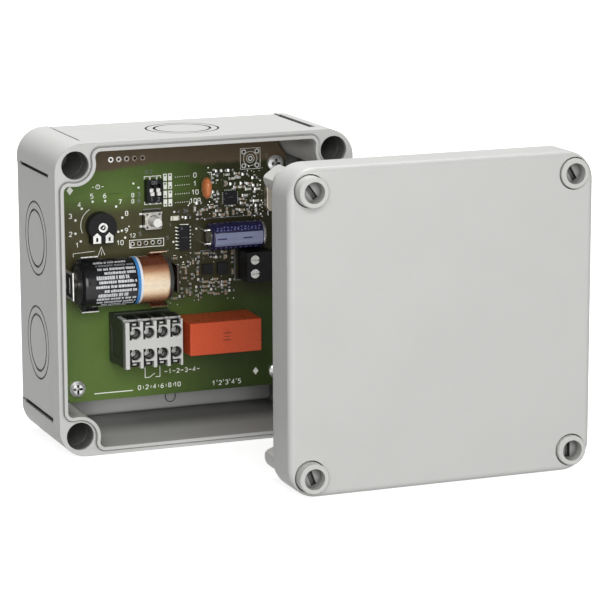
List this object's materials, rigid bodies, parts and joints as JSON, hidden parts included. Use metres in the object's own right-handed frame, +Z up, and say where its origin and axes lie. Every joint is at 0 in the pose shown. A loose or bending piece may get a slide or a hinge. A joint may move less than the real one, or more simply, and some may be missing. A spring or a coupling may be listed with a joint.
{
  "type": "wireless doorbell relay box",
  "caption": "Square surface-mounted plastic box, open to the front, holding a radio relay board with terminals and a battery cell; its lid with slotted corner screws stands beside it.",
  "frame": {"origin": "centre of the face that goes against the wall", "axes": "X to the right seen from the front, Y into the wall, Z up"},
  "size_m": [0.164, 0.1329, 0.11],
  "materials": {
    "black_plastic": "moulded",
    "board_green": "solder mask",
    "can_aluminium": "drawn",
    "capacitor_tan": "fired",
    "cell_can": "printed sleeve, black and copper",
    "chip_black": "moulded epoxy",
    "contact_brass": "plated",
    "copper_wire": "enamelled copper",
    "cover_tin": "tinned sheet",
    "dipped_orange": "dipped",
    "housing_grey": "fine moulded",
    "iron": "plated iron",
    "light_lens": "clear resin",
    "relay_orange": "moulded cover",
    "resistor_black": "fired",
    "seal_foam": "foam cord",
    "sleeve_blue": "shrunk sleeve",
    "solder": "tinned",
    "spring_steel": "nickel plated spring steel",
    "steel_zinc": "zinc plated",
    "terminal_dark": "moulded",
    "terminal_grey": "moulded",
    "white_plastic": "moulded"
  },
  "bodies": {
    "base": {"base_shell": "housing_grey", "battery_clip_minus": "spring_steel", "battery_clip_plus": "spring_steel", "bell_terminal_contacts": "contact_brass", "bell_terminal_housing": "black_plastic", "board_screws": "steel_zinc", "buffer_capacitor_can": "can_aluminium", "buffer_capacitor_leads": "solder", "buffer_capacitor_sleeve": "sleeve_blue", "ceramic_capacitor": "dipped_orange", "ceramic_capacitor_leads": "solder", "chip_capacitors": "capacitor_tan", "chip_resistors": "resistor_black", "circuit_board": "board_green", "crystal_can": "cover_tin", "crystal_leads": "solder", "learn_button_base": "black_plastic", "learn_button_cover": "cover_tin", "learn_button_pins": "solder", "logic_chip": "chip_black", "logic_chip_leads": "solder", "mains_terminal_end_plate": "terminal_dark", "mains_terminal_foot": "terminal_dark", "mains_terminal_front": "terminal_grey", "mains_terminal_pins": "solder", "mains_terminal_springs": "spring_steel", "radio_chip": "chip_black", "regulator_chips": "chip_black", "relay_base": "black_plastic", "relay_bobbin": "white_plastic", "relay_coil": "copper_wire", "relay_contacts": "contact_brass", "relay_core": "iron", "relay_cover": "relay_orange", "relay_pins": "contact_brass", "relay_yoke": "iron", "solder_pads": "solder", "status_light": "light_lens", "timer_dial_housing": "black_plastic", "timer_dial_lugs": "white_plastic", "timer_switch_housing": "black_plastic", "timer_switch_pins": "solder"},
    "lid": {"lid_shell": "housing_grey", "lid_seal": "seal_foam"},
    "screw_upper_left": {"cover_screw_upper_left": "housing_grey"},
    "screw_upper_right": {"cover_screw_upper_right": "housing_grey"},
    "screw_lower_left": {"cover_screw_lower_left": "housing_grey"},
    "screw_lower_right": {"cover_screw_lower_right": "housing_grey"},
    "battery": {"battery_cell": "cell_can"},
    "dial": {"timer_dial_rotor": "white_plastic"},
    "slider_left": {"timer_switch_slider_left": "white_plastic"},
    "slider_right": {"timer_switch_slider_right": "white_plastic"},
    "learn_stem": {"learn_button_stem": "white_plastic"},
    "bell_screw_upper": {"bell_terminal_screw_upper": "steel_zinc"},
    "bell_screw_lower": {"bell_terminal_screw_lower": "steel_zinc"},
    "bell_cage_upper": {"bell_terminal_cage_upper": "contact_brass"},
    "bell_cage_lower": {"bell_terminal_cage_lower": "contact_brass"},
    "armature": {"relay_armature": "iron"}
  },
  "joints": [
    {"name": "lid_slide", "type": "slide", "parent": "base", "child": "lid", "axis": [-0.6332, 0.774, 0], "range_m": [-0.092, 0.08528]},
    {"name": "cover_screw_turn_upper_left", "type": "hinge", "parent": "lid", "child": "screw_upper_left", "pos_m": [0.0064, -0.115, 0.0476], "axis": [0, 1, 0], "range_deg": [0, 90]},
    {"name": "cover_screw_turn_upper_right", "type": "hinge", "parent": "lid", "child": "screw_upper_right", "pos_m": [0.1016, -0.115, 0.0476], "axis": [0, 1, 0], "range_deg": [0, 90]},
    {"name": "cover_screw_turn_lower_left", "type": "hinge", "parent": "lid", "child": "screw_lower_left", "pos_m": [0.0064, -0.115, -0.0476], "axis": [0, 1, 0], "range_deg": [0, 90]},
    {"name": "cover_screw_turn_lower_right", "type": "hinge", "parent": "lid", "child": "screw_lower_right", "pos_m": [0.1016, -0.115, -0.0476], "axis": [0, 1, 0], "range_deg": [0, 90]},
    {"name": "battery_out", "type": "slide", "parent": "base", "child": "battery", "axis": [0, -1, 0], "range_m": [0, 0.018]},
    {"name": "dial_turn", "type": "hinge", "parent": "base", "child": "dial", "pos_m": [-0.0288, -0.017, 0.02005], "axis": [0, 1, 0], "range_deg": [-130, 130]},
    {"name": "slider_left_up", "type": "slide", "parent": "base", "child": "slider_left", "axis": [0, 0, 1], "range_m": [0, 0.0015]},
    {"name": "slider_right_up", "type": "slide", "parent": "base", "child": "slider_right", "axis": [0, 0, 1], "range_m": [0, 0.0015]},
    {"name": "learn_press", "type": "slide", "parent": "base", "child": "learn_stem", "axis": [0, 1, 0], "range_m": [0, 0.0003], "stiffness_N_per_m": 1500},
    {"name": "bell_screw_turn_upper", "type": "hinge", "parent": "base", "child": "bell_screw_upper", "pos_m": [0.027, -0.0205, 0.00514], "axis": [0, 1, 0], "range_deg": [0, 1081]},
    {"name": "bell_screw_turn_lower", "type": "hinge", "parent": "base", "child": "bell_screw_lower", "pos_m": [0.027, -0.0205, 0.00006], "axis": [0, 1, 0], "range_deg": [0, 1081]},
    {"name": "bell_cage_rise_upper", "type": "slide", "parent": "base", "child": "bell_cage_upper", "axis": [0, -1, 0], "range_m": [0, 0.0015]},
    {"name": "bell_cage_rise_lower", "type": "slide", "parent": "base", "child": "bell_cage_lower", "axis": [0, -1, 0], "range_m": [0, 0.0015]},
    {"name": "armature_pull", "type": "hinge", "parent": "base", "child": "armature", "pos_m": [0.01655, -0.0271, -0.02105], "axis": [0, 0, 1], "range_deg": [0, 4.5]}
  ],
  "couplings": [
    {"joint": "bell_screw_turn_upper", "follows": "bell_cage_rise_upper", "rad_per_m": 12566},
    {"joint": "bell_screw_turn_lower", "follows": "bell_cage_rise_lower", "rad_per_m": 12566}
  ]
}
